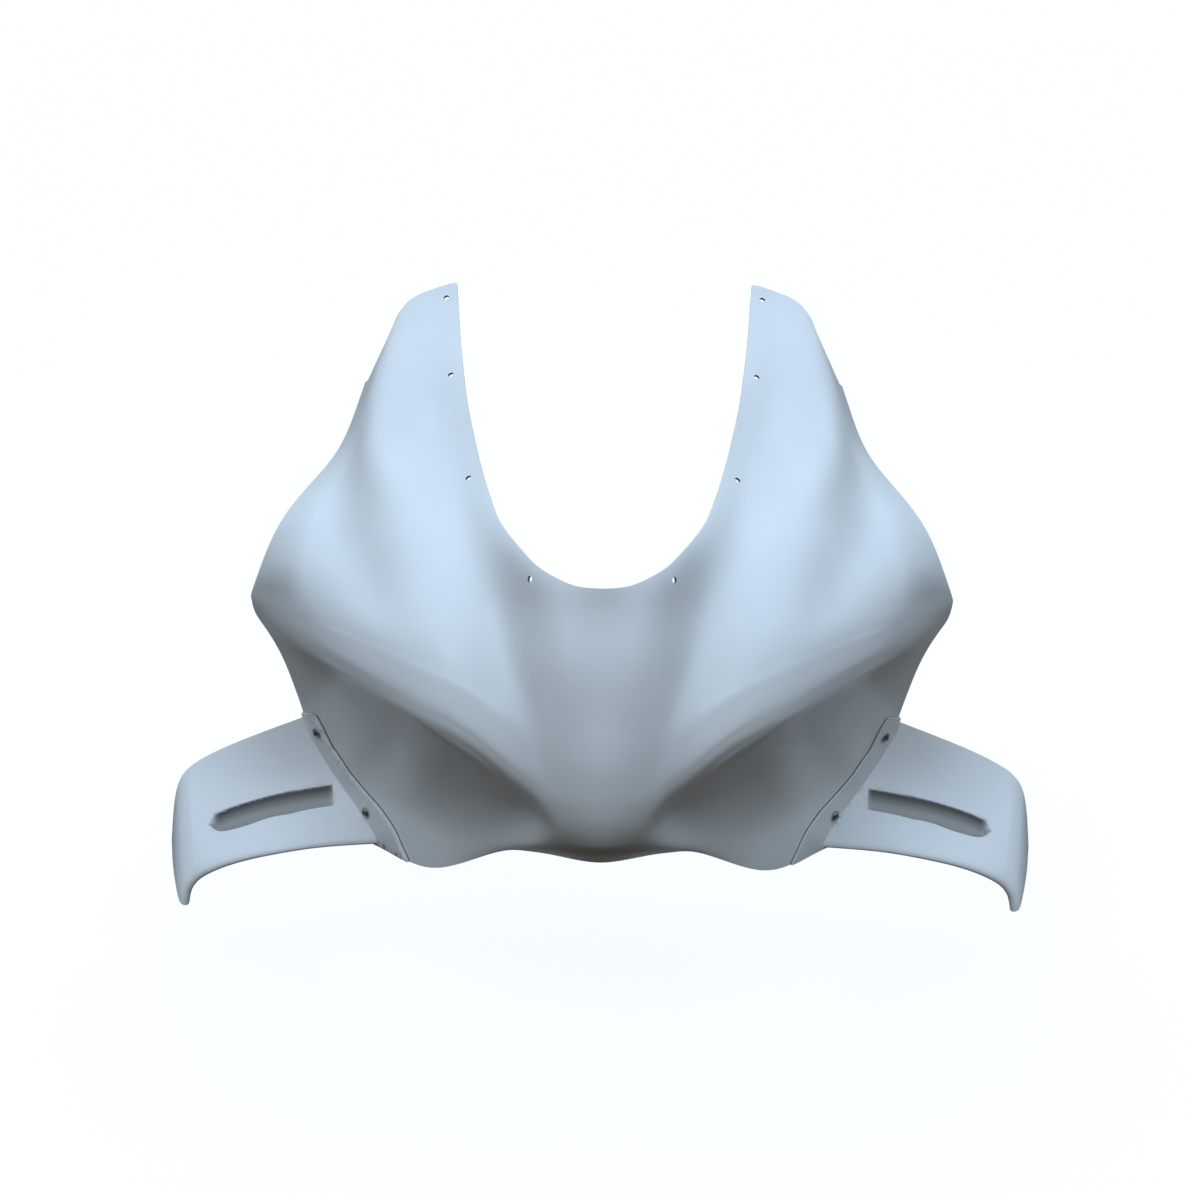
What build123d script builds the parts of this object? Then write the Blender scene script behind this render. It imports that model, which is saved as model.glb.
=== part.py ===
from build123d import *
import math
import os

# Motorcycle race upper fairing: one moulded fibreglass shell with a U-shaped
# screen opening, and two bolted winglets. Millimetres, +Z up, +Y to the rear,
# X across; the object is symmetric about X = 0. The rider's left is +X.

# ---- driving dimensions -------------------------------------------------
SHELL_T = 2.2            # laminate thickness of the shell
FLANGE_T = 2.0           # winglet flange thickness
FLANGE_GAP = 0.4         # sealant film between flange and shell
SCREEN_HOLE_D = 5.0      # holes for the screen's screws
BOLT_HOLE_D = 5.6        # clearance holes of the winglet screws
SCREW_D = 5.0            # M5 button-head screws
HEAD_D = 9.5
HEAD_H = 2.7
SOCKET_AF = 3.0
SOCKET_DEPTH = 1.6
WASHER_D = 10.0
WASHER_BORE = 5.3
WASHER_T = 1.0
NUT_AF = 8.0
NUT_H = 5.0
SEAT_GAP = 0.3           # paint film under heads and washers
BLADE_T = 10.0           # greatest thickness of a winglet blade
BLADE_TE = 2.6           # thickness at its trailing edge
CAMBER = 15.0            # hollow of its front face
VIEW_TILT = 15.0         # the cut-outs were trimmed along this front axis
ORIGIN_Y = 154.85        # frame origin: centre of the whole part's box
ORIGIN_Z = -59.21

# Moulding surface, half of it (X >= 0): rows run from the arm tops down over
# the brow, round the ridge and down to the chin; each row from the centre
# line out to the rear edge.
NET = [
    [(0.0, 346.0, 215.3), (52.3, 349.9, 214.2), (92.8, 357.7, 211.4), (117.7, 364.0, 209.1), (132.9, 368.2, 207.6), (144.6, 371.4, 204.3), (154.6, 375.0, 201.4), (162.9, 377.8, 199.0), (169.3, 380.5, 196.5), (174.1, 384.4, 193.6), (178.2, 389.8, 189.8), (181.7, 397.6, 185.0)],
    [(0.0, 324.2, 181.7), (51.0, 325.2, 180.9), (91.0, 327.0, 178.7), (114.4, 328.1, 176.9), (130.1, 328.5, 175.8), (144.0, 329.3, 173.5), (157.2, 330.1, 170.8), (168.7, 331.9, 168.2), (177.7, 334.6, 165.5), (184.5, 342.2, 162.2), (189.3, 355.7, 158.1), (192.5, 365.4, 154.9)],
    [(0.0, 277.9, 149.7), (49.3, 278.7, 148.9), (87.6, 280.5, 147.0), (110.7, 282.3, 145.4), (127.0, 283.8, 144.1), (142.4, 285.3, 141.9), (157.8, 285.0, 139.5), (172.4, 285.0, 137.2), (183.8, 287.5, 134.4), (191.4, 295.7, 132.1), (197.2, 310.8, 129.0), (202.5, 328.6, 125.2)],
    [(0.0, 204.3, 122.1), (46.1, 208.3, 120.8), (82.7, 217.0, 117.7), (106.4, 226.1, 114.7), (123.6, 234.8, 112.1), (140.9, 241.9, 108.9), (158.6, 242.7, 107.4), (176.2, 242.5, 105.6), (190.0, 245.4, 104.0), (199.6, 257.3, 100.9), (206.5, 274.1, 97.0), (212.8, 292.9, 92.8)],
    [(0.0, 157.0, 89.7), (42.0, 160.2, 89.0), (77.0, 167.9, 86.0), (101.0, 177.4, 82.8), (119.6, 187.6, 79.6), (138.2, 194.9, 77.1), (158.2, 198.0, 75.8), (178.1, 199.6, 75.0), (195.5, 207.5, 73.0), (209.6, 230.2, 67.7), (219.1, 247.4, 64.2), (226.8, 262.9, 60.2)],
    [(0.0, 101.4, 59.0), (36.2, 103.8, 58.5), (67.9, 110.2, 56.4), (90.6, 120.8, 53.3), (110.5, 135.6, 49.9), (130.3, 142.8, 48.4), (153.4, 150.4, 47.6), (178.3, 158.0, 47.0), (202.3, 185.1, 42.0), (221.9, 205.1, 38.7), (237.8, 219.4, 36.6), (251.2, 238.5, 32.4)],
    [(0.0, 13.9, 36.7), (31.7, 18.9, 35.5), (59.3, 32.0, 32.7), (81.0, 59.6, 26.5), (104.2, 85.4, 21.5), (130.6, 93.9, 21.8), (158.4, 106.9, 22.2), (188.3, 136.6, 19.2), (214.0, 164.7, 15.2), (233.7, 172.1, 15.1), (251.5, 183.0, 13.3), (271.6, 207.6, 7.5)],
    [(0.0, -10.6, -1.8), (28.3, -11.1, -1.7), (52.6, 3.9, -4.0), (74.8, 29.4, -8.5), (99.9, 41.9, -8.4), (128.9, 51.2, -6.6), (158.1, 67.6, -6.0), (186.9, 98.0, -9.0), (214.9, 122.0, -11.1), (240.9, 143.1, -13.1), (264.1, 164.3, -16.0), (285.1, 194.5, -22.8)],
    [(0.0, -26.2, -43.0), (24.5, -27.5, -41.9), (47.9, -15.2, -42.6), (68.1, 5.0, -44.3), (91.1, 10.6, -40.5), (118.6, 14.8, -35.4), (147.8, 29.8, -32.6), (178.8, 57.3, -32.2), (210.6, 91.3, -33.5), (241.5, 128.7, -36.1), (269.3, 166.2, -39.4), (293.4, 200.4, -43.3)],
    [(0.0, -37.0, -84.1), (20.8, -36.5, -83.4), (41.1, -29.4, -81.8), (57.9, -17.2, -80.2), (80.0, -9.2, -73.3), (105.7, -5.1, -61.9), (134.3, 7.2, -53.0), (165.3, 32.0, -47.6), (199.0, 68.5, -45.9), (234.5, 114.6, -47.3), (267.7, 164.1, -49.1), (297.2, 206.6, -52.8)],
    [(0.0, -42.8, -115.8), (19.4, -40.7, -115.0), (38.9, -33.9, -112.6), (53.3, -26.8, -105.5), (72.3, -17.6, -91.9), (97.2, -11.9, -75.6), (124.8, -2.3, -63.6), (155.1, 19.0, -55.7), (190.0, 55.2, -51.1), (227.6, 103.5, -50.9), (263.8, 158.4, -53.5), (297.4, 208.5, -57.6)],
    [(0.0, -43.2, -140.1), (18.7, -40.6, -139.5), (37.5, -34.2, -134.6), (51.1, -30.2, -125.7), (68.5, -23.2, -114.6), (94.2, -18.0, -95.8), (121.6, -9.1, -80.4), (151.7, 10.7, -70.7), (187.2, 47.1, -64.1), (225.7, 98.6, -59.5), (262.1, 156.2, -59.7), (297.2, 210.8, -61.8)],
    [(0.0, -42.1, -152.4), (18.8, -39.3, -151.1), (37.3, -32.8, -147.1), (50.8, -29.4, -137.1), (67.9, -23.2, -125.8), (92.3, -19.1, -105.7), (119.7, -11.1, -90.1), (149.8, 7.8, -80.2), (184.8, 43.9, -72.8), (222.6, 93.9, -67.2), (259.2, 153.3, -68.3), (296.6, 213.3, -66.3)],
    [(0.0, -40.3, -162.7), (18.8, -36.9, -161.5), (37.0, -29.6, -157.8), (50.6, -25.5, -147.3), (67.3, -20.5, -134.7), (91.4, -18.2, -113.9), (118.8, -11.0, -98.1), (148.8, 7.5, -87.3), (183.4, 43.9, -80.6), (220.8, 93.0, -74.0), (256.3, 151.3, -74.6), (294.8, 213.5, -71.0)],
    [(0.0, -37.6, -170.9), (18.9, -33.8, -169.9), (37.2, -24.5, -167.0), (51.1, -13.3, -159.0), (67.4, -11.0, -145.3), (90.9, -14.1, -121.7), (118.3, -8.1, -105.4), (148.0, 9.9, -94.5), (182.0, 46.9, -88.4), (217.4, 89.9, -79.3), (251.7, 146.9, -79.3), (290.1, 208.2, -76.1)],
    [(0.0, -34.4, -177.7), (18.9, -30.0, -177.0), (37.3, -18.2, -175.8), (51.5, 0.4, -171.3), (67.7, 4.5, -159.0), (90.8, -3.9, -133.3), (117.7, 3.3, -117.2), (148.0, 26.1, -107.8), (181.2, 63.2, -101.7), (214.5, 96.9, -89.8), (245.8, 143.7, -86.0), (281.2, 199.1, -85.5)],
    [(0.0, -30.3, -184.1), (19.0, -23.9, -185.0), (37.5, -12.0, -184.6), (51.8, 5.4, -183.0), (67.8, 22.2, -177.8), (92.0, 28.6, -160.2), (119.9, 42.5, -146.1), (150.8, 67.4, -138.0), (182.2, 99.7, -130.2), (213.0, 127.3, -116.0), (240.9, 157.8, -107.4), (269.9, 196.0, -106.1)],
    [(0.0, -23.0, -191.0), (19.1, -15.5, -192.3), (37.7, -5.0, -193.0), (52.7, 7.6, -192.9), (69.9, 32.1, -194.7), (93.6, 52.6, -189.8), (122.8, 76.5, -184.1), (153.0, 105.0, -178.9), (181.3, 132.9, -169.6), (210.1, 158.7, -159.1), (234.8, 180.3, -146.7), (260.2, 205.1, -140.1)],
    [(0.0, -6.0, -201.7), (19.3, -1.5, -201.8), (38.7, 3.3, -200.3), (54.4, 11.8, -200.3), (72.5, 36.7, -205.7), (97.7, 65.0, -213.9), (127.0, 94.9, -218.4), (155.4, 125.7, -217.7), (183.7, 156.3, -211.2), (208.6, 180.6, -203.8), (230.8, 200.2, -192.6), (253.7, 222.7, -182.1)],
    [(0.0, 2.6, -208.3), (19.8, 5.1, -207.2), (39.2, 7.9, -204.6), (55.6, 16.8, -205.4), (74.4, 41.1, -214.1), (101.4, 71.0, -229.1), (130.9, 98.7, -241.6), (157.6, 125.9, -244.2), (182.8, 157.8, -239.4), (207.7, 187.6, -236.9), (228.8, 210.9, -229.0), (252.5, 238.1, -220.3)],
    [(0.0, 9.1, -214.2), (20.2, 8.6, -211.5), (39.7, 10.6, -208.1), (57.1, 22.4, -210.2), (77.1, 48.0, -220.1), (105.1, 76.7, -239.9), (134.7, 101.9, -256.8), (158.9, 126.7, -261.3), (180.8, 157.1, -262.5), (200.6, 186.6, -264.8), (220.5, 213.3, -262.0), (245.9, 247.5, -255.2)],
]

# Screen opening and arm tops in the front view: (x, height along the view).
SCREEN_U = [(0, 8.2), (14.9, 9.3), (27.6, 12.9), (46.7, 23.3), (60.1, 35.7),
            (80.1, 59.9), (91.2, 84.8), (100.0, 110.5), (107.3, 136.8),
            (113.8, 163.6), (118.5, 190.8), (122.6, 218.7), (125.9, 247.5),
            (129.2, 276.0)]
ARM_TOP = [(129.2, 276.0), (133.8, 275.9), (140.1, 274.1), (147.3, 271.8),
           (156.1, 268.8), (163.1, 265.8), (170.1, 261.3), (175.1, 255.7),
           (180.8, 246.4), (184.4, 234.9), (189.9, 220.0)]
# Parameters (u, v) of the screen holes and the winglet screws on the surface.
SCREEN_UV = [(0.7248, 0.014), (0.7123, 0.0849), (0.6861, 0.2031), (0.5988, 0.3096)]
SCREW_UV = [(0.9909, 0.9249), (0.9268, 0.9778)]
# Seam of the winglet flange in the front view.
SEAM = [(242.0, -98.0), (236.4, -108.4), (228.4, -125.7), (223.4, -132.5),
        (211.9, -149.1), (197.4, -164.5), (183.8, -177.9), (171.9, -192.8),
        (164.7, -206.3), (158.5, -218.3), (154.0, -230.0)]
# Winglet blade: leading-edge and trailing-edge points from root to tip.
BLADE = [((152.3, 170.2, -259.8), (151.5, 215.2, -121.8)),
         ((203.1, 164.2, -260.3), (207.1, 217.1, -145.0)),
         ((243.7, 160.6, -262.7), (252.5, 218.4, -163.7)),
         ((283.0, 155.9, -268.2), (292.9, 220.4, -180.3)),
         ((309.7, 154.1, -274.6), (321.2, 220.5, -192.4)),
         ((328.0, 153.1, -281.7), (342.4, 219.5, -203.0)),
         ((339.7, 152.8, -288.8), (355.5, 218.2, -212.1)),
         ((346.8, 151.5, -297.4), (363.6, 216.4, -223.7)),
         ((349.8, 150.0, -305.5), (367.7, 212.4, -242.9)),
         ((350.9, 149.4, -310.6), (369.7, 204.8, -273.2))]
# Slot between the blade's two elements: upper and lower lip on its front face.
SLOT_TOP = [(229.6, 196.7, -217.1),
            (262.4, 197.0, -223.2),
            (286.9, 194.9, -228.1),
            (311.3, 190.7, -234.7),
            (327.8, 186.5, -240.6)]
SLOT_LOW = [(333.9, 179.5, -249.0),
            (322.6, 174.4, -253.3),
            (302.5, 176.5, -249.1),
            (278.9, 181.8, -242.6),
            (254.4, 184.1, -237.8),
            (227.8, 185.1, -232.9)]
SLOT_DIR = (0.0, -0.27, -0.963)   # the slot runs down behind the lower lip

# ---- moulding surface ---------------------------------------------------
NR = len(NET)
NC = len(NET[0])
NF = 2 * NC - 1


def knots(n, p=3):
    return [0.0] * p + [i / (n - p) for i in range(n - p + 1)] + [1.0] * p


def basis(t, n, p=3):
    k = knots(n, p)
    t = min(max(t, 0.0), 1 - 1e-12)
    b = [1.0 if k[i] <= t < k[i + 1] else 0.0 for i in range(n + p)]
    for q in range(1, p + 1):
        m = []
        for i in range(n + p - q):
            a = k[i + q] - k[i]
            c = k[i + q + 1] - k[i + 1]
            v = 0.0
            if a > 0:
                v += (t - k[i]) / a * b[i]
            if c > 0:
                v += (k[i + q + 1] - t) / c * b[i + 1]
            m.append(v)
        b = m
    return b


def solve(a, b):
    n = len(a)
    a = [list(r) + list(s) for r, s in zip(a, b)]
    for i in range(n):
        p = max(range(i, n), key=lambda r: abs(a[r][i]))
        a[i], a[p] = a[p], a[i]
        d = a[i][i]
        a[i] = [v / d for v in a[i]]
        for r in range(n):
            if r != i and a[r][i]:
                f = a[r][i]
                a[r] = [x - f * y for x, y in zip(a[r], a[i])]
    return [r[n:] for r in a]


def greville(n, p=3):
    k = knots(n, p)
    return [sum(k[i + 1:i + p + 1]) / p for i in range(n)]


FULL = [[(-x, y, z) for x, y, z in r[:0:-1]] + list(r) for r in NET]
BV = [basis(t, NR) for t in greville(NR)]
BU = [basis(t, NF) for t in greville(NF)]
POLES = []
for c in range(3):
    pv = solve(BV, [[FULL[i][j][c] for j in range(NF)] for i in range(NR)])
    su = solve(BU, [[pv[i][j] for i in range(NR)] for j in range(NF)])
    POLES.append([[su[j][i] for j in range(NF)] for i in range(NR)])


def rows_at(us, vs):
    bu = [basis(u, NF) for u in us]
    out = []
    for v in vs:
        b = basis(v, NR)
        r = [[sum(b[i] * POLES[c][i][j] for i in range(NR) if b[i])
              for j in range(NF)] for c in range(3)]
        out.append([tuple(sum(w[j] * r[c][j] for j in range(NF) if w[j])
                          for c in range(3)) for w in bu])
    return out


def point(u, v):
    return rows_at([u], [v])[0][0]


def sub(a, b):
    return tuple(x - y for x, y in zip(a, b))


def add(a, b, k=1.0):
    return tuple(x + k * y for x, y in zip(a, b))


def cross(a, b):
    return (a[1] * b[2] - a[2] * b[1], a[2] * b[0] - a[0] * b[2],
            a[0] * b[1] - a[1] * b[0])


def unit(a):
    s = math.sqrt(sum(x * x for x in a))
    return tuple(x / s for x in a)


def grid(us, vs, off=0.0):
    """Points of the moulding surface, moved outward along its normal."""
    e = 1e-4
    p = rows_at(us, vs)
    if off == 0.0:
        return p
    ua = rows_at([max(u - e, 0) for u in us], vs)
    ub = rows_at([min(u + e, 1) for u in us], vs)
    va = rows_at(us, [max(v - e, 0) for v in vs])
    vb = rows_at(us, [min(v + e, 1) for v in vs])
    out = []
    for i in range(len(vs)):
        r = []
        for j in range(len(us)):
            n = unit(cross(sub(vb[i][j], va[i][j]), sub(ub[i][j], ua[i][j])))
            r.append(add(p[i][j], n, off))
        out.append(r)
    return out


def normal(u, v):
    return unit(sub(grid([u], [v], 1.0)[0][0], point(u, v)))


def span(a, b, n):
    return [a + (b - a) * i / n for i in range(n + 1)]


def skin(us, vs, off_in, off_out):
    """Closed solid between two offsets of the moulding surface."""
    faces = [Face.make_surface_from_array_of_points(grid(us, vs, o), tol=0.5,
                                                    min_deg=3, max_deg=3)
             for o in (off_in, off_out)]
    ea, eb = faces[0].edges(), faces[1].edges()
    sides = []
    for a in ea:
        b = min(eb, key=lambda e: ((e @ 0.5) - (a @ 0.5)).length)
        sides.append(Face.make_surface_from_curves(a, b))
    s = Solid(Shell(faces + sides))
    return s


FRONT = Plane(origin=(0, 0, 0), x_dir=(1, 0, 0),
              z_dir=(0, -math.cos(math.radians(VIEW_TILT)),
                     math.sin(math.radians(VIEW_TILT))))


def front_prism(edges, depth=700):
    return extrude(FRONT * make_face(edges), depth, both=True)


# ---- shell ----------------------------------------------------------------
US = span(0.0, 1.0, 72)
VS = span(0.0, 1.0, 64)
shell = skin(US, VS, -SHELL_T, 0.0)
if shell.volume < 0:
    shell = Solid(shell.wrapped.Reversed())

u_right = SCREEN_U + [(131.5, 300.0), (134.0, 360.0)]
opening = front_prism([
    Spline(*([(-x, y) for x, y in u_right[:0:-1]] + u_right)),
    Line(u_right[-1], (-u_right[-1][0], u_right[-1][1]))])
shell = shell - opening
for s in (1, -1):
    top = [(s * x, y) for x, y in ARM_TOP]
    trim = front_prism([
        Spline(*top), Polyline(top[-1], (s * 197.0, 203.0), (s * 203.5, 188.0), (s * 235.0, 180.0),
                               (s * 235.0, 370.0), (s * 122.0, 370.0), (s * 122.0, 276.0), top[0])])
    shell = shell - trim


def along(p, n):
    """Plane at p with its z along n."""
    return Plane(origin=p, x_dir=unit(cross((0, 0, 1), n)), z_dir=n)


def mirror_x(v):
    return (-v[0], v[1], v[2])


holes = []
for u, v in SCREEN_UV:
    p, n = point(u, v), normal(u, v)
    holes.append((p, n))
    for q, m in ((p, n), (mirror_x(p), mirror_x(n))):
        shell = shell - along(q, m) * Cylinder(SCREEN_HOLE_D / 2, 40)
bolts = [(point(u, v), normal(u, v)) for u, v in SCREW_UV]
for p, n in bolts:
    for q, m in ((p, n), (mirror_x(p), mirror_x(n))):
        shell = shell - along(q, m) * Cylinder(BOLT_HOLE_D / 2, 40)

print("shell", shell.volume, shell.is_valid, len(shell.solids()), flush=True)
# ---- winglet (the +X one, then mirrored) ------------------------------------
PU = span(0.80, 1.0, 24)
PV = span(0.80, 1.0, 24)
plate = skin(PU, PV, FLANGE_GAP, FLANGE_GAP + FLANGE_T)
outline = front_prism([Spline(*SEAM), Polyline(SEAM[-1], (150.0, -290.0),
                                               (330.0, -290.0), (330.0, -98.0), SEAM[0])])
flange = plate & outline


PROFILE = [(0.004, 0.16), (0.015, 0.29), (0.04, 0.41), (0.12, 0.50), (0.22, 0.50),
           (0.35, 0.50), (0.50, 0.46), (0.65, 0.40), (0.82, 0.27)]
STATIONS = 18


def catmull(pts, t):
    n = len(pts) - 1
    i = min(int(t), n - 1)
    f = t - i
    p = (pts[max(i - 1, 0)], pts[i], pts[i + 1], pts[min(i + 2, n)])
    return tuple(0.5 * ((2 * b) + (c - a) * f + (2 * a - 5 * b + 4 * c - d) * f * f
                        + (3 * b - a - 3 * c + d) * f ** 3)
                 for a, b, c, d in zip(*p))


def section(t):
    """Blade section at t: rounded leading edge, thin trailing edge."""
    les, tes = [b[0] for b in BLADE], [b[1] for b in BLADE]
    le, te = catmull(les, t), catmull(tes, t)
    t0, t1 = max(t - 0.15, 0), min(t + 0.15, len(BLADE) - 1)
    a = add(catmull(les, t0), catmull(tes, t0))
    b = add(catmull(les, t1), catmull(tes, t1))
    chord = sub(te, le)
    up = unit(cross(chord, sub(b, a)))
    if up[1] > 0:
        up = tuple(-x for x in up)

    hollow = CAMBER * min(max((6.0 - t) / 3.5, 0.0), 1.0)

    def at(c, k):
        return add(add(le, chord, c), up, k * BLADE_T - hollow * math.sin(math.pi * c))

    h = BLADE_TE / 2 / BLADE_T
    top = [at(c, k) for c, k in PROFILE]
    low = [at(c, -k) for c, k in PROFILE]
    return Wire(Polyline(le, *top, at(1, h), at(1, -h), *low[::-1], le).edges())


blade = Solid.make_loft([section((len(BLADE) - 1) * i / STATIONS)
                         for i in range(STATIONS + 1)], True)
if blade.volume < 0:
    blade = Solid(blade.wrapped.Reversed())
print("flange and blade", flange.volume, blade.volume, blade.is_valid, flush=True)
face_in = Face.make_surface_from_array_of_points(
    grid(span(0.80, 1.0, 24), span(0.76, 1.0, 24), FLANGE_GAP + FLANGE_T / 2), tol=0.5, min_deg=3, max_deg=3)
keep_out = extrude(face_in, 140, dir=(-0.8, 0.6, 0.0))
blade = blade - keep_out - shell
blade = max(blade.solids(), key=lambda s: s.volume)

print("blade trimmed", blade.volume, flush=True)
slot_axis = unit(SLOT_DIR)
slot_plane = Plane(origin=(0, 0, 0), x_dir=(1, 0, 0), z_dir=slot_axis)
loop = []
for p in SLOT_TOP + SLOT_LOW:
    q = slot_plane.to_local_coords(Vector(*p))
    loop.append((q.X, q.Y, q.Z))
depth = sum(q[2] for q in loop) / len(loop)
slot = extrude(slot_plane.offset(depth) * make_face(Polyline(*[(a, b) for a, b, c in loop], loop[0][:2])), 45, both=True)
blade = blade - slot
print("slotted", blade.volume, flush=True)
winglet = flange + blade
print("joined", winglet.volume, flush=True)
winglet = max(winglet.solids(), key=lambda s: s.volume)
for p, n in bolts:
    winglet = winglet - along(p, n) * Cylinder(BOLT_HOLE_D / 2, 40)
winglet = max(winglet.solids(), key=lambda s: s.volume)


print("winglet", winglet.volume, winglet.is_valid, flush=True)
# ---- fasteners ---------------------------------------------------------------
def hexagon(af):
    return RegularPolygon(af / 2, 6, major_radius=False)


def screw(p, n):
    top = FLANGE_GAP + FLANGE_T + SEAT_GAP
    dome = 6.2
    head = Cylinder(HEAD_D / 2, HEAD_H, align=(Align.CENTER, Align.CENTER, Align.MIN))
    ball = Pos(0, 0, HEAD_H - dome) * Sphere(dome)
    head = head & (ball + Cylinder(HEAD_D / 2, 0.9, align=(Align.CENTER, Align.CENTER, Align.MIN)))
    head = head - Pos(0, 0, HEAD_H - SOCKET_DEPTH) * extrude(hexagon(SOCKET_AF), 4)
    shank = Pos(0, 0, -12.0) * Cylinder(SCREW_D / 2, 12.0, align=(Align.CENTER, Align.CENTER, Align.MIN))
    shank = chamfer(shank.faces().sort_by(Axis.Z)[0].edges(), 0.5)
    return along(add(p, n, top), n) * (head + shank)


def washer(p, n):
    z = -SHELL_T - SEAT_GAP - WASHER_T
    ring = Cylinder(WASHER_D / 2, WASHER_T, align=(Align.CENTER, Align.CENTER, Align.MIN))
    ring = ring - Cylinder(WASHER_BORE / 2, 3 * WASHER_T)
    return along(add(p, n, z), n) * ring


def nut(p, n):
    z = -SHELL_T - SEAT_GAP - WASHER_T - NUT_H
    body = extrude(hexagon(NUT_AF), NUT_H - 1.0)
    body = Pos(0, 0, 1.0) * body + Cylinder(3.55, 1.0, align=(Align.CENTER, Align.CENTER, Align.MIN))
    body = body - Cylinder(SCREW_D / 2, 3 * NUT_H)
    return along(add(p, n, z), n) * body


def flip(s):
    return s.mirror(Plane.YZ)


screws = [screw(p, n) for p, n in bolts]
washers = [washer(p, n) for p, n in bolts]
nuts = [nut(p, n) for p, n in bolts]

nodes = {
    "upper_shell": [shell],
    "left_winglet": [winglet],
    "right_winglet": [flip(winglet)],
    "left_winglet_screws": screws,
    "right_winglet_screws": [flip(s) for s in screws],
    "left_winglet_washers": washers,
    "right_winglet_washers": [flip(s) for s in washers],
    "left_winglet_nuts": nuts,
    "right_winglet_nuts": [flip(s) for s in nuts],
}
os.makedirs("parts", exist_ok=True)
place = Location((0, -ORIGIN_Y, -ORIGIN_Z))
lo = [1e9] * 3
hi = [-1e9] * 3
for name, items in nodes.items():
    solids = []
    for it in items:
        solids += [s.moved(place) for s in it.solids()]
    body = solids[0] if len(solids) == 1 else Compound(children=solids)
    export_step(body, "parts/%s.step" % name)
    b = body.bounding_box()
    lo = [min(a, c) for a, c in zip(lo, (b.min.X, b.min.Y, b.min.Z))]
    hi = [max(a, c) for a, c in zip(hi, (b.max.X, b.max.Y, b.max.Z))]
    print("%-24s solids %d valid %s volume %.0f box %.1f %.1f %.1f .. %.1f %.1f %.1f" % (
        name, len(solids), all(s.is_valid for s in solids), sum(s.volume for s in solids),
        b.min.X, b.min.Y, b.min.Z, b.max.X, b.max.Y, b.max.Z))
print("whole box", [round(v, 2) for v in lo], [round(v, 2) for v in hi])
for i, (p, n) in enumerate(holes):
    print("screen hole", i, [round(v, 2) for v in sub(p, (0, ORIGIN_Y, ORIGIN_Z))], [round(v, 4) for v in n])
for i, (p, n) in enumerate(bolts):
    print("winglet bolt", i, [round(v, 2) for v in sub(p, (0, ORIGIN_Y, ORIGIN_Z))], [round(v, 4) for v in n])
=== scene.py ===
import math

import bmesh
import bpy
import numpy as np
from mathutils import Matrix, Vector
from mathutils.geometry import delaunay_2d_cdt


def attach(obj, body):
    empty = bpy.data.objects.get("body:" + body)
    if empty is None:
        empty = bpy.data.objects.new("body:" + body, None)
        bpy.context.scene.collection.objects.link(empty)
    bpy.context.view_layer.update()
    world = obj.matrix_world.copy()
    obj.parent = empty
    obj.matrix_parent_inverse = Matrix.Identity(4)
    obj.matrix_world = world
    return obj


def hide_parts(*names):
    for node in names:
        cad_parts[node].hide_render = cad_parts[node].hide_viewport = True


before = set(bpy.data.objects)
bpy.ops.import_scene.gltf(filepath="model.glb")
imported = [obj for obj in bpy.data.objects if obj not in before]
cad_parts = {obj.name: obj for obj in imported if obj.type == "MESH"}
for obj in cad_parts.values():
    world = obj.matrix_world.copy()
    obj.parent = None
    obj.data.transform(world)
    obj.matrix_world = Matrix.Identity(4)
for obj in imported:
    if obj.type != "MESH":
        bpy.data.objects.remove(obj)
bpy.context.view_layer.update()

ORIGIN_Y, ORIGIN_Z = 154.85, -59.21
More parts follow.
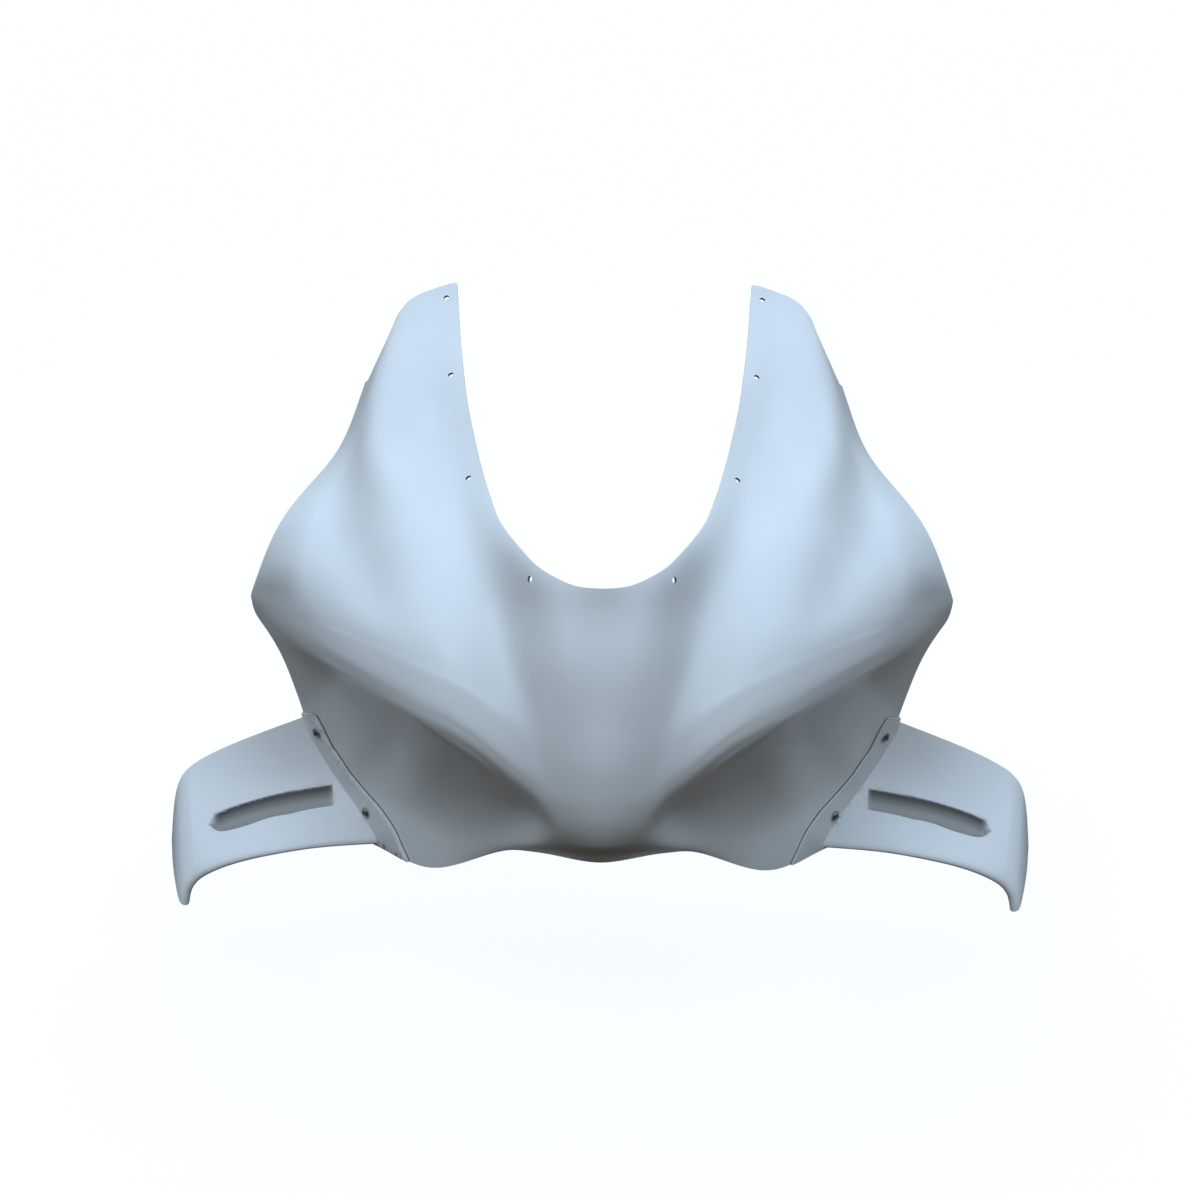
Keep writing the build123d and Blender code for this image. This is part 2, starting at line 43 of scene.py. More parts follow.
# Moulding surface, half of it: rows from the arm tops down to the chin,
# each from the centre line out to the rear edge (mm).
NET = [
    [(0.0, 346.0, 215.3), (52.3, 349.9, 214.2), (92.8, 357.7, 211.4), (117.7, 364.0, 209.1), (132.9, 368.2, 207.6), (144.6, 371.4, 204.3), (154.6, 375.0, 201.4), (162.9, 377.8, 199.0), (169.3, 380.5, 196.5), (174.1, 384.4, 193.6), (178.2, 389.8, 189.8), (181.7, 397.6, 185.0)],
    [(0.0, 324.2, 181.7), (51.0, 325.2, 180.9), (91.0, 327.0, 178.7), (114.4, 328.1, 176.9), (130.1, 328.5, 175.8), (144.0, 329.3, 173.5), (157.2, 330.1, 170.8), (168.7, 331.9, 168.2), (177.7, 334.6, 165.5), (184.5, 342.2, 162.2), (189.3, 355.7, 158.1), (192.5, 365.4, 154.9)],
    [(0.0, 277.9, 149.7), (49.3, 278.7, 148.9), (87.6, 280.5, 147.0), (110.7, 282.3, 145.4), (127.0, 283.8, 144.1), (142.4, 285.3, 141.9), (157.8, 285.0, 139.5), (172.4, 285.0, 137.2), (183.8, 287.5, 134.4), (191.4, 295.7, 132.1), (197.2, 310.8, 129.0), (202.5, 328.6, 125.2)],
    [(0.0, 204.3, 122.1), (46.1, 208.3, 120.8), (82.7, 217.0, 117.7), (106.4, 226.1, 114.7), (123.6, 234.8, 112.1), (140.9, 241.9, 108.9), (158.6, 242.7, 107.4), (176.2, 242.5, 105.6), (190.0, 245.4, 104.0), (199.6, 257.3, 100.9), (206.5, 274.1, 97.0), (212.8, 292.9, 92.8)],
    [(0.0, 157.0, 89.7), (42.0, 160.2, 89.0), (77.0, 167.9, 86.0), (101.0, 177.4, 82.8), (119.6, 187.6, 79.6), (138.2, 194.9, 77.1), (158.2, 198.0, 75.8), (178.1, 199.6, 75.0), (195.5, 207.5, 73.0), (209.6, 230.2, 67.7), (219.1, 247.4, 64.2), (226.8, 262.9, 60.2)],
    [(0.0, 101.4, 59.0), (36.2, 103.8, 58.5), (67.9, 110.2, 56.4), (90.6, 120.8, 53.3), (110.5, 135.6, 49.9), (130.3, 142.8, 48.4), (153.4, 150.4, 47.6), (178.3, 158.0, 47.0), (202.3, 185.1, 42.0), (221.9, 205.1, 38.7), (237.8, 219.4, 36.6), (251.2, 238.5, 32.4)],
    [(0.0, 13.9, 36.7), (31.7, 18.9, 35.5), (59.3, 32.0, 32.7), (81.0, 59.6, 26.5), (104.2, 85.4, 21.5), (130.6, 93.9, 21.8), (158.4, 106.9, 22.2), (188.3, 136.6, 19.2), (214.0, 164.7, 15.2), (233.7, 172.1, 15.1), (251.5, 183.0, 13.3), (271.6, 207.6, 7.5)],
    [(0.0, -10.6, -1.8), (28.3, -11.1, -1.7), (52.6, 3.9, -4.0), (74.8, 29.4, -8.5), (99.9, 41.9, -8.4), (128.9, 51.2, -6.6), (158.1, 67.6, -6.0), (186.9, 98.0, -9.0), (214.9, 122.0, -11.1), (240.9, 143.1, -13.1), (264.1, 164.3, -16.0), (285.1, 194.5, -22.8)],
    [(0.0, -26.2, -43.0), (24.5, -27.5, -41.9), (47.9, -15.2, -42.6), (68.1, 5.0, -44.3), (91.1, 10.6, -40.5), (118.6, 14.8, -35.4), (147.8, 29.8, -32.6), (178.8, 57.3, -32.2), (210.6, 91.3, -33.5), (241.5, 128.7, -36.1), (269.3, 166.2, -39.4), (293.4, 200.4, -43.3)],
    [(0.0, -37.0, -84.1), (20.8, -36.5, -83.4), (41.1, -29.4, -81.8), (57.9, -17.2, -80.2), (80.0, -9.2, -73.3), (105.7, -5.1, -61.9), (134.3, 7.2, -53.0), (165.3, 32.0, -47.6), (199.0, 68.5, -45.9), (234.5, 114.6, -47.3), (267.7, 164.1, -49.1), (297.2, 206.6, -52.8)],
    [(0.0, -42.8, -115.8), (19.4, -40.7, -115.0), (38.9, -33.9, -112.6), (53.3, -26.8, -105.5), (72.3, -17.6, -91.9), (97.2, -11.9, -75.6), (124.8, -2.3, -63.6), (155.1, 19.0, -55.7), (190.0, 55.2, -51.1), (227.6, 103.5, -50.9), (263.8, 158.4, -53.5), (297.4, 208.5, -57.6)],
    [(0.0, -43.2, -140.1), (18.7, -40.6, -139.5), (37.5, -34.2, -134.6), (51.1, -30.2, -125.7), (68.5, -23.2, -114.6), (94.2, -18.0, -95.8), (121.6, -9.1, -80.4), (151.7, 10.7, -70.7), (187.2, 47.1, -64.1), (225.7, 98.6, -59.5), (262.1, 156.2, -59.7), (297.2, 210.8, -61.8)],
    [(0.0, -42.1, -152.4), (18.8, -39.3, -151.1), (37.3, -32.8, -147.1), (50.8, -29.4, -137.1), (67.9, -23.2, -125.8), (92.3, -19.1, -105.7), (119.7, -11.1, -90.1), (149.8, 7.8, -80.2), (184.8, 43.9, -72.8), (222.6, 93.9, -67.2), (259.2, 153.3, -68.3), (296.6, 213.3, -66.3)],
    [(0.0, -40.3, -162.7), (18.8, -36.9, -161.5), (37.0, -29.6, -157.8), (50.6, -25.5, -147.3), (67.3, -20.5, -134.7), (91.4, -18.2, -113.9), (118.8, -11.0, -98.1), (148.8, 7.5, -87.3), (183.4, 43.9, -80.6), (220.8, 93.0, -74.0), (256.3, 151.3, -74.6), (294.8, 213.5, -71.0)],
    [(0.0, -37.6, -170.9), (18.9, -33.8, -169.9), (37.2, -24.5, -167.0), (51.1, -13.3, -159.0), (67.4, -11.0, -145.3), (90.9, -14.1, -121.7), (118.3, -8.1, -105.4), (148.0, 9.9, -94.5), (182.0, 46.9, -88.4), (217.4, 89.9, -79.3), (251.7, 146.9, -79.3), (290.1, 208.2, -76.1)],
    [(0.0, -34.4, -177.7), (18.9, -30.0, -177.0), (37.3, -18.2, -175.8), (51.5, 0.4, -171.3), (67.7, 4.5, -159.0), (90.8, -3.9, -133.3), (117.7, 3.3, -117.2), (148.0, 26.1, -107.8), (181.2, 63.2, -101.7), (214.5, 96.9, -89.8), (245.8, 143.7, -86.0), (281.2, 199.1, -85.5)],
    [(0.0, -30.3, -184.1), (19.0, -23.9, -185.0), (37.5, -12.0, -184.6), (51.8, 5.4, -183.0), (67.8, 22.2, -177.8), (92.0, 28.6, -160.2), (119.9, 42.5, -146.1), (150.8, 67.4, -138.0), (182.2, 99.7, -130.2), (213.0, 127.3, -116.0), (240.9, 157.8, -107.4), (269.9, 196.0, -106.1)],
    [(0.0, -23.0, -191.0), (19.1, -15.5, -192.3), (37.7, -5.0, -193.0), (52.7, 7.6, -192.9), (69.9, 32.1, -194.7), (93.6, 52.6, -189.8), (122.8, 76.5, -184.1), (153.0, 105.0, -178.9), (181.3, 132.9, -169.6), (210.1, 158.7, -159.1), (234.8, 180.3, -146.7), (260.2, 205.1, -140.1)],
    [(0.0, -6.0, -201.7), (19.3, -1.5, -201.8), (38.7, 3.3, -200.3), (54.4, 11.8, -200.3), (72.5, 36.7, -205.7), (97.7, 65.0, -213.9), (127.0, 94.9, -218.4), (155.4, 125.7, -217.7), (183.7, 156.3, -211.2), (208.6, 180.6, -203.8), (230.8, 200.2, -192.6), (253.7, 222.7, -182.1)],
    [(0.0, 2.6, -208.3), (19.8, 5.1, -207.2), (39.2, 7.9, -204.6), (55.6, 16.8, -205.4), (74.4, 41.1, -214.1), (101.4, 71.0, -229.1), (130.9, 98.7, -241.6), (157.6, 125.9, -244.2), (182.8, 157.8, -239.4), (207.7, 187.6, -236.9), (228.8, 210.9, -229.0), (252.5, 238.1, -220.3)],
    [(0.0, 9.1, -214.2), (20.2, 8.6, -211.5), (39.7, 10.6, -208.1), (57.1, 22.4, -210.2), (77.1, 48.0, -220.1), (105.1, 76.7, -239.9), (134.7, 101.9, -256.8), (158.9, 126.7, -261.3), (180.8, 157.1, -262.5), (200.6, 186.6, -264.8), (220.5, 213.3, -262.0), (245.9, 247.5, -255.2)],
]

# Screen opening and arm tops in the front view: (x, height along the view).
SCREEN_U = [(0, 8.2), (14.9, 9.3), (27.6, 12.9), (46.7, 23.3), (60.1, 35.7),
            (80.1, 59.9), (91.2, 84.8), (100.0, 110.5), (107.3, 136.8),
            (113.8, 163.6), (118.5, 190.8), (122.6, 218.7), (125.9, 247.5),
            (129.2, 276.0)]
ARM_TOP = [(129.2, 276.0), (133.8, 275.9), (140.1, 274.1), (147.3, 271.8),
           (156.1, 268.8), (163.1, 265.8), (170.1, 261.3), (175.1, 255.7),
           (180.8, 246.4), (184.4, 234.9), (189.9, 220.0)]
# Parameters (u, v) of the screen holes and the winglet screws on the surface.
SCREEN_UV = [(0.7248, 0.014), (0.7123, 0.0849), (0.6861, 0.2031), (0.5988, 0.3096)]
SCREW_UV = [(0.9909, 0.9249), (0.9268, 0.9778)]
# Seam of the winglet flange in the front view.
SEAM = [(242.0, -98.0), (236.4, -108.4), (228.4, -125.7), (223.4, -132.5),
        (211.9, -149.1), (197.4, -164.5), (183.8, -177.9), (171.9, -192.8),
        (164.7, -206.3), (158.5, -218.3), (154.0, -230.0)]
# Winglet blade: leading-edge and trailing-edge points from root to tip.
BLADE = [((152.3, 170.2, -259.8), (151.5, 215.2, -121.8)),
         ((203.1, 164.2, -260.3), (207.1, 217.1, -145.0)),
         ((243.7, 160.6, -262.7), (252.5, 218.4, -163.7)),
         ((283.0, 155.9, -268.2), (292.9, 220.4, -180.3)),
         ((309.7, 154.1, -274.6), (321.2, 220.5, -192.4)),
         ((328.0, 153.1, -281.7), (342.4, 219.5, -203.0)),
         ((339.7, 152.8, -288.8), (355.5, 218.2, -212.1)),
         ((346.8, 151.5, -297.4), (363.6, 216.4, -223.7)),
         ((349.8, 150.0, -305.5), (367.7, 212.4, -242.9)),
         ((350.9, 149.4, -310.6), (369.7, 204.8, -273.2))]
# Slot between the blade's two elements: upper and lower lip on its front face.
SLOT_TOP = [(229.6, 196.7, -217.1),
            (262.4, 197.0, -223.2),
            (286.9, 194.9, -228.1),
            (311.3, 190.7, -234.7),
            (327.8, 186.5, -240.6)]
SLOT_LOW = [(333.9, 179.5, -249.0),
            (322.6, 174.4, -253.3),
            (302.5, 176.5, -249.1),
            (278.9, 181.8, -242.6),
            (254.4, 184.1, -237.8),
            (227.8, 185.1, -232.9)]


NET = np.array(NET)
NR, NC = NET.shape[:2]
NF = 2 * NC - 1
SHIFT = np.array([0.0, ORIGIN_Y, ORIGIN_Z])
TILT = math.radians(15.0)


# ---- moulding surface (mm, before the shift to the frame) -------------------
def basis(t, n, p=3):
    k = np.array([0.0] * p + [i / (n - p) for i in range(n - p + 1)] + [1.0] * p)
    t = np.clip(np.atleast_1d(t), 0, 1 - 1e-12)[:, None]
    b = ((k[None, :-1] <= t) & (t < k[None, 1:])).astype(float)
    for q in range(1, p + 1):
        m = np.zeros((len(t), n + p - q))
        for i in range(n + p - q):
            a, c = k[i + q] - k[i], k[i + q + 1] - k[i + 1]
            if a > 0:
                m[:, i] += (t[:, 0] - k[i]) / a * b[:, i]
            if c > 0:
                m[:, i] += (k[i + q + 1] - t[:, 0]) / c * b[:, i + 1]
        b = m
    return b


def greville(n, p=3):
    k = [0.0] * p + [i / (n - p) for i in range(n - p + 1)] + [1.0] * p
    return np.array([sum(k[i + 1:i + p + 1]) / p for i in range(n)])


FULL = np.concatenate([NET[:, :0:-1] * [-1, 1, 1], NET], 1)
POLES = np.linalg.solve(basis(greville(NR), NR), FULL.reshape(NR, -1)).reshape(NR, NF, 3)
POLES = np.linalg.solve(basis(greville(NF), NF), POLES.transpose(1, 0, 2).reshape(NF, -1)).reshape(NF, NR, 3).transpose(1, 0, 2)


def surf(u, v):
    t = (basis(v, NR) @ POLES.reshape(NR, -1)).reshape(-1, NF, 3)
    return (basis(u, NF)[:, :, None] * t).sum(1)


def unit(a):
    return a / np.maximum(np.linalg.norm(a, axis=-1, keepdims=True), 1e-12)


def frame_at(u, v, e=1e-4):
    du = (surf(np.minimum(u + e, 1), v) - surf(np.maximum(u - e, 0), v)) / (np.minimum(u + e, 1) - np.maximum(u - e, 0))[:, None]
    dv = (surf(u, np.minimum(v + e, 1)) - surf(u, np.maximum(v - e, 0))) / (np.minimum(v + e, 1) - np.maximum(v - e, 0))[:, None]
    return du, dv, unit(np.cross(dv, du))


def front(p):
    return np.stack([p[:, 0], p[:, 1] * math.sin(TILT) + p[:, 2] * math.cos(TILT)], 1)


gu, gv = np.meshgrid(np.linspace(0.5, 1, 121), np.linspace(0, 1, 161))
GU, GV = gu.ravel(), gv.ravel()
GF = front(surf(GU, GV))


def invert(targets):
    """Parameters of the points that show at these places in the front view."""
    targets = np.array(targets, float)
    i = [int(((GF - t) ** 2).sum(1).argmin()) for t in targets]
    u, v = GU[i].copy(), GV[i].copy()
    for _ in range(12):
        r = targets - front(surf(u, v))
        du, dv, _n = frame_at(u, v)
        a, b = front(du), front(dv)
        det = a[:, 0] * b[:, 1] - a[:, 1] * b[:, 0]
        det = np.where(abs(det) < 1e-6, 1e-6, det)
        su = (r[:, 0] * b[:, 1] - r[:, 1] * b[:, 0]) / det
        sv = (a[:, 0] * r[:, 1] - a[:, 1] * r[:, 0]) / det
        u = np.clip(u + np.clip(su, -0.03, 0.03), 0, 1)
        v = np.clip(v + np.clip(sv, -0.03, 0.03), 0, 1)
    return u, v, np.linalg.norm(targets - front(surf(u, v)), axis=1)


def spline(pts, step):
    """A smooth curve through the points, at an even step."""
    p = np.array(pts, float)
    q = np.vstack([2 * p[0] - p[1], p, 2 * p[-1] - p[-2]])
    out = []
    for i in range(1, len(q) - 2):
        for f in np.linspace(0, 1, 24, endpoint=False):
            a, b, c, d = q[i - 1], q[i], q[i + 1], q[i + 2]
            out.append(0.5 * (2 * b + (c - a) * f + (2 * a - 5 * b + 4 * c - d) * f * f + (3 * b - a - 3 * c + d) * f ** 3))
    return resample(np.array(out + [p[-1]]), step)


def resample(p, step, scale=(1, 1)):
    s = np.concatenate([[0], np.cumsum(np.linalg.norm(np.diff(p * np.array(scale)[:p.shape[1]] if p.shape[1] == 2 else p, axis=0), axis=1))])
    n = max(int(round(s[-1] / step)), 2)
    t = np.linspace(0, s[-1], n + 1)
    return np.stack([np.interp(t, s, p[:, k]) for k in range(p.shape[1])], 1)


U1 = V1 = 0.9990
SU, SV = 800.0, 650.0      # rough size of the parameter square, mm


def inside(pts, poly):
    x, y = pts[:, 0], pts[:, 1]
    r = np.zeros(len(pts), bool)
    for a, b in zip(poly, np.roll(poly, -1, 0)):
        if a[1] == b[1]:
            continue
        c = (a[1] > y) != (b[1] > y)
        r ^= c & (x < (b[0] - a[0]) * (y - a[1]) / (b[1] - a[1]) + a[0])
    return r


def to_mesh(name, verts, faces, normals=None, **attrs):
    me = bpy.data.meshes.new(name)
    me.from_pydata(((np.asarray(verts) - SHIFT) * 0.001).tolist(), [], faces)
    me.update()
    for k, a in attrs.items():
        at = me.attributes.new(k, "FLOAT", "POINT")
        at.data.foreach_set("value", np.asarray(a, np.float32))
    me.polygons.foreach_set("use_smooth", [True] * len(me.polygons))
    if normals is not None:
        me.normals_split_custom_set_from_vertices(np.asarray(normals).tolist())
    ob = bpy.data.objects.new(name, me)
    bpy.context.scene.collection.objects.link(ob)
    return ob


def sheet(name, loop, holes, off_out, off_in, h, bulge):
    """Closed skin between two offsets of the surface, trimmed by loops in (u, v)."""
    S = np.array([SU, SV])
    loop = np.asarray(loop)
    area = 0.5 * np.sum(loop[:, 0] * np.roll(loop[:, 1], -1) - np.roll(loop[:, 0], -1) * loop[:, 1])
    if area < 0:
        loop = loop[::-1]
    lo, hi = loop.min(0) * S, loop.max(0) * S
    nx, ny = int((hi[0] - lo[0]) / h), int((hi[1] - lo[1]) / h)
    X, Y = np.meshgrid(np.linspace(lo[0], hi[0], nx), np.linspace(lo[1], hi[1], ny))
    X[1::2] += 0.5 * h * (X[1::2] < hi[0] - h) * (X[1::2] > lo[0] + h) * 0
    P = np.stack([X.ravel(), Y.ravel()], 1)
    P = P[inside(P, loop * S)]
    edge = np.vstack([loop] + list(holes)) * S
    keep = np.ones(len(P), bool)
    for k in range(0, len(edge), 200):
        d = ((P[:, None, :] - edge[None, k:k + 200, :]) ** 2).sum(2).min(1)
        keep &= d > (0.6 * h) ** 2
    for c in holes:
        keep &= ~inside(P, c * S)
    P = P[keep]
    chains = [loop] + list(holes)
    co, ed, at = [], [], 0
    for c in chains:
        n = len(c)
        co += (c * S).tolist()
        ed += [(at + i, at + (i + 1) % n) for i in range(n)]
        at += n
    nb = at
    co += P.tolist()
    V, _e, F, _a, _b, _c = delaunay_2d_cdt([Vector(c) for c in co], ed, [], 0, 1e-5, False)
    V = np.array([tuple(v) for v in V])
    F = np.array([f for f in F if len(f) == 3])
    cen = V[F].mean(1)
    ok = inside(cen, loop * S)
    for c in holes:
        ok &= ~inside(cen, c * S)
    F = F[ok]
    u, v = V[:, 0] / SU, V[:, 1] / SV
    P0 = surf(u, v)
    du, dv, N = frame_at(u, v)
    n = len(P0)
    verts = [P0 + off_out * N, P0 + off_in * N]
    norms = [N, -N]
    a, b, c = V[F[:, 0]], V[F[:, 1]], V[F[:, 2]]
    ccw = ((b - a)[:, 0] * (c - a)[:, 1] - (b - a)[:, 1] * (c - a)[:, 0]) > 0
    F = np.where(ccw[:, None], F, F[:, ::-1])
    faces = F[:, ::-1].tolist() + (F + n).tolist()
    ring_in = [np.zeros(n), np.ones(n)]
    ring_shade = [np.zeros(2 * n)]
    base, at = 2 * n, 0
    T = off_out - off_in
    for ci, ch in enumerate(chains):
        m = len(ch)
        idx = np.arange(at, at + m)
        at += m
        Q, NN = P0[idx], N[idx]
        tan = unit(np.roll(Q, -1, 0) - np.roll(Q, 1, 0))
        sign = 1.0
        if ci:
            ar = 0.5 * np.sum(ch[:, 0] * np.roll(ch[:, 1], -1) - np.roll(ch[:, 0], -1) * ch[:, 1])
            sign = -1.0 if ar > 0 else 1.0
        B = unit(np.cross(NN, tan)) * sign
        rings = [idx]
        for s, w in ((0.06, 0.4), (0.3, 0.95), (0.7, 0.95), (0.94, 0.4)):
            verts.append(Q + (off_out - s * T) * NN + B * (bulge * w if ci == 0 else 0.0))
            norms.append(unit(B + NN * (0.9 if s < 0.1 else 0.15 if s < 0.5 else -0.15 if s < 0.9 else -0.9)))
            ring_in.append(np.full(m, 0.0))
            # painted shade: the walls of the screen holes are marked dark, for the shade inside the holes
            ring_shade.append(np.full(m, 0.95 if ci else 0.0))
            rings.append(np.arange(base, base + m))
            base += m
        rings.append(idx + n)
        for ra, rb in zip(rings, rings[1:]):
            for i in range(m):
                j = (i + 1) % m
                q = [int(ra[i]), int(ra[j]), int(rb[j]), int(rb[i])]
                faces.append(q if sign > 0 else q[::-1])
    ob = to_mesh(name, np.vstack(verts), faces, np.vstack(norms), inner=np.concatenate(ring_in),
                 recess=np.concatenate(ring_shade))
    return ob


# ---- shell ------------------------------------------------------------------
top = spline(ARM_TOP, 2.5)
run = np.vstack([spline(SCREEN_U, 2.5)[:-1], top,
                 resample(np.array([ARM_TOP[-1], (197.0, 203.0), (203.5, 188.0)]), 2.5)[1:]])
u, v, miss = invert(run)
good = (miss < 0.5) & (u < U1 - 0.002) & (v > 0.0005)
run_uv = np.stack([u, v], 1)[good]
ev = np.linspace(0, 0.4, 1600)
ef = front(surf(np.full(1600, U1), ev))
line = ef[:, 1] - (188.0 - (ef[:, 0] - 203.5) * 8 / 31.5)
last = run_uv[-1]
cross_v = float(ev[np.where(np.diff(np.sign(line)) != 0)[0][0]]) if (np.diff(np.sign(line)) != 0).any() else float(last[1])
corner = np.array([U1, max(cross_v, last[1] + 0.002)])
half = np.vstack([run_uv[1:], resample(np.array([last, corner]), 2.5, (SU, SV))[1:],
                  resample(np.array([corner, (U1, V1)]), 2.5, (SU, SV))[1:],
                  resample(np.array([(U1, V1), (0.5, V1)]), 2.5, (SU, SV))[1:]])
centre = run_uv[:1] * [0, 1] + [0.5, 0]
loop = np.vstack([centre, half, (half[:-1] * [-1, 1] + [1, 0])[::-1]])
holes = []
for hu, hv in SCREEN_UV:
    for hh in (hu, 1 - hu):
        du, dv, n = frame_at(np.array([hh]), np.array([hv]))
        du, dv = du[0], dv[0]
        e1 = du / np.linalg.norm(du)
        e2 = np.cross(n[0], e1)
        ring = []
        J = np.array([[du @ e1, dv @ e1], [du @ e2, dv @ e2]])
        for k in range(20):
            a = 2 * math.pi * k / 20
            d = np.linalg.solve(J, 2.5 * np.array([math.cos(a), math.sin(a)]))
            ring.append((hh + d[0], hv + d[1]))
        holes.append(np.array(ring))
shell = sheet("shell_visual", loop, holes, -0.03, -2.2, 3.6, 0.35)

# ---- winglet ------------------------------------------------------------------
GAP, PLATE, BLADE_T, CAMBER = 0.4, 2.0, 10.0, 15.0


def catmull(p, t):
    n = len(p) - 1
    i = min(int(t), n - 1)
    f = t - i
    a, b, c, d = (p[max(i - 1, 0)], p[i], p[i + 1], p[min(i + 2, n)])
    return 0.5 * (2 * b + (c - a) * f + (2 * a - 5 * b + 4 * c - d) * f * f + (3 * b - a - 3 * c + d) * f ** 3)


LES = np.array([b[0] for b in BLADE], float)
TES = np.array([b[1] for b in BLADE], float)
prof = spline([(0.0, 0.0), (0.07, 0.17), (0.13, 0.29), (0.21, 0.41), (0.35, 0.49), (0.6, 0.5), (0.81, 0.4), (1.0, 0.13)], 0.03)
prof[:, 1] = np.maximum(prof[:, 1], 0)


def blade_mesh():
    rings = []
    for t in np.linspace(0, len(LES) - 1, 110):
        le, te = catmull(LES, t), catmull(TES, t)
        t0, t1 = max(t - 0.15, 0), min(t + 0.15, len(LES) - 1)
        span = catmull(LES, t1) + catmull(TES, t1) - catmull(LES, t0) - catmull(TES, t0)
        up = unit(np.cross(te - le, span))
        if up[1] > 0:
            up = -up
        c, f = prof[:, 0] ** 2, prof[:, 1]
        hollow = CAMBER * min(max((6.0 - t) / 3.5, 0.0), 1.0) * np.sin(np.pi * c)
        a = le + c[:, None] * (te - le) + (f * BLADE_T - hollow)[:, None] * up
        b = le + c[:, None] * (te - le) - (f * BLADE_T + hollow)[:, None] * up
        rings.append(np.vstack([a, b[:0:-1]]))
    m = len(rings[0])
    faces = []
    for r in range(len(rings) - 1):
        for i in range(m):
            j = (i + 1) % m
            faces.append((r * m + i, r * m + j, (r + 1) * m + j, (r + 1) * m + i))
    faces.append(tuple(range(m)))
    faces.append(tuple((len(rings) - 1) * m + i for i in range(m))[::-1])
    return np.vstack(rings), faces


def fix_normals(ob):
    bm = bmesh.new()
    bm.from_mesh(ob.data)
    bmesh.ops.recalc_face_normals(bm, faces=bm.faces)
    bm.to_mesh(ob.data)
    bm.free()


def baked(ob, name):
    dg = bpy.context.evaluated_depsgraph_get()
    me = bpy.data.meshes.new_from_object(ob.evaluated_get(dg))
    new = bpy.data.objects.new(name, me)
    bpy.context.scene.collection.objects.link(new)
    return new


blade = to_mesh("blade_raw", *blade_mesh())
fix_normals(blade)
# everything on the shell's side of the flange's middle goes
ku, kv = np.linspace(0.78, 1.0, 30), np.linspace(0.72, 1.0, 30)
KU, KV = np.meshgrid(ku, kv)
kp = surf(KU.ravel(), KV.ravel())
kn = frame_at(KU.ravel(), KV.ravel())[2]
kp = kp + (GAP + PLATE / 2) * kn
kq = kp + 140 * unit(np.array([-0.8, 0.6, 0.0]))
n2 = len(kp)
kf = []
for r in range(29):
    for c in range(29):
        a = r * 30 + c
        kf += [(a, a + 1, a + 31, a + 30), (n2 + a, n2 + a + 30, n2 + a + 31, n2 + a + 1)]
rim = [c for c in range(30)] + [r * 30 + 29 for r in range(1, 30)] + [29 * 30 + c for c in range(28, -1, -1)] + [r * 30 for r in range(28, 0, -1)]
for a, b in zip(rim, rim[1:] + rim[:1]):
    kf.append((a, b, n2 + b, n2 + a))
keep_out = to_mesh("keep_raw", np.vstack([kp, kq]), kf)
fix_normals(keep_out)
# slot
D = unit(np.array([0.0, -0.27, -0.963]))
E2 = np.cross(D, [1.0, 0.0, 0.0])


upper, lower = spline(SLOT_TOP, 3.0), spline(SLOT_LOW, 3.0)
ring = np.vstack([upper, lower])
flat = np.stack([ring[:, 0], ring @ E2], 1)
mid = (ring @ D).mean()
base3 = flat[:, :1] * np.array([[1.0, 0, 0]]) + flat[:, 1:] * E2[None]
m = len(ring)
steps = np.arange(-45.0, 45.1, 1.5)
cutter = to_mesh("slot_raw", np.vstack([base3 + (mid + h) * D for h in steps]),
                 [tuple(range(m)), tuple(range(len(steps) * m - 1, (len(steps) - 1) * m - 1, -1))] +
                 [(k * m + i, k * m + (i + 1) % m, (k + 1) * m + (i + 1) % m, (k + 1) * m + i)
                  for k in range(len(steps) - 1) for i in range(m)])
fix_normals(cutter)
# flange plate
su, sv, miss = invert(spline(SEAM, 2.0))
ok = (miss < 0.6) & (su < U1 - 0.001) & (sv < V1 - 0.001)
seam = np.stack([su, sv], 1)[ok]
a, b = seam[0], seam[-1]
rv = np.linspace(0.78, 1.0, 900)
a0 = np.array([U1, rv[np.argmin(abs(front(surf(np.full(900, U1), rv))[:, 1] - SEAM[0][1]))]])
print('flange corner', a0, 'first seam point', a)
b0 = np.array([b[0] + (b[0] - seam[-4][0]) / max(b[1] - seam[-4][1], 1e-4) * (V1 - b[1]), V1])
edge = np.vstack([a0[None], seam, b0[None],
                  resample(np.array([b0, (U1, V1)]), 2.5, (SU, SV))[1:],
                  resample(np.array([(U1, V1), a0]), 2.5, (SU, SV))[1:-1]])
plate = sheet("plate_raw", edge, [], GAP + PLATE, GAP, 3.0, 0.2)
for k, tool in enumerate((keep_out, cutter)):
    mod = blade.modifiers.new("cut%d" % k, "BOOLEAN")
    mod.operation, mod.solver, mod.object = "DIFFERENCE", "EXACT", tool
cut = baked(blade, "blade_cut")
bm = bmesh.new()
bm.from_mesh(cut.data)
bm.from_mesh(plate.data)
me = bpy.data.meshes.new("both")
bm.to_mesh(me)
bm.free()
both = bpy.data.objects.new("both", me)
bpy.context.scene.collection.objects.link(both)
wing_l = baked(both, "left_winglet_visual")
for o in (blade, keep_out, cutter, cut, plate, both):
    bpy.data.objects.remove(o)
